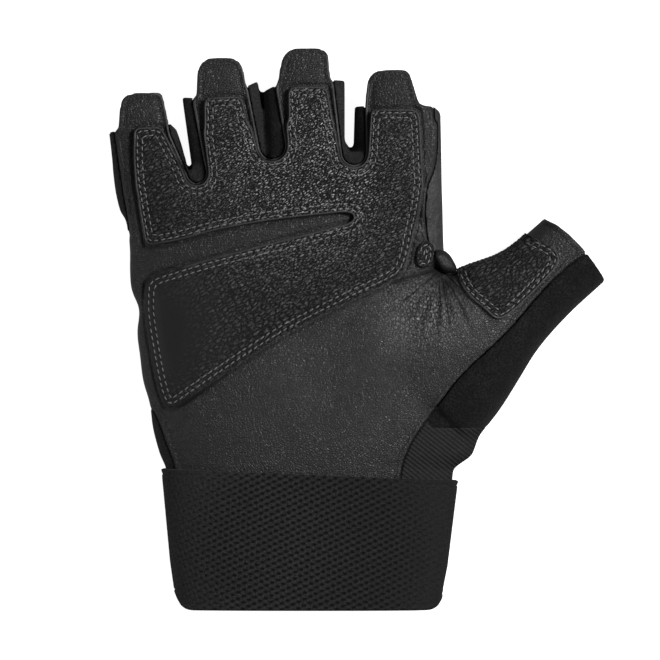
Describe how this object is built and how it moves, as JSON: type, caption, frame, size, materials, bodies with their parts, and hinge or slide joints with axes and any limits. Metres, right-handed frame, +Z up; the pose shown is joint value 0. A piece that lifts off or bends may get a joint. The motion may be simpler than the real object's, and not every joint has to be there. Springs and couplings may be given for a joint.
{
  "type": "weightlifting glove",
  "caption": "Fingerless right-hand training glove with leather palm, textured overlay, finger pull tabs, fabric side walls and a wide elastic wrist wrap.",
  "frame": {"origin": "middle of the glove's footprint, on the surface that it lies on", "axes": "+Z up out of the palm side, +Y from the wrist wrap towards the fingertips, +X towards the thumb"},
  "size_m": [0.1526, 0.1746, 0.031],
  "materials": {
    "leather": "fine grained, softly glossy",
    "overlay": "embossed cells, satin",
    "fabric": "matt knit",
    "elastic": "matt woven elastic"
  },
  "bodies": {
    "root": {"palm_leather": "leather", "palm_pad": "overlay", "thumb_patch": "overlay", "fourchette_little_ring": "fabric", "fourchette_ring_middle": "fabric", "fourchette_middle_index": "fabric", "little_side_wall": "fabric", "index_side_wall": "leather", "crotch_fold": "overlay", "crotch_tab": "leather", "thumb_back": "fabric", "cuff_gusset": "elastic", "ulnar_strip": "fabric", "back_panel": "fabric", "wrist_wrap": "elastic", "wrap_closure": "elastic"}
  },
  "joints": []
}
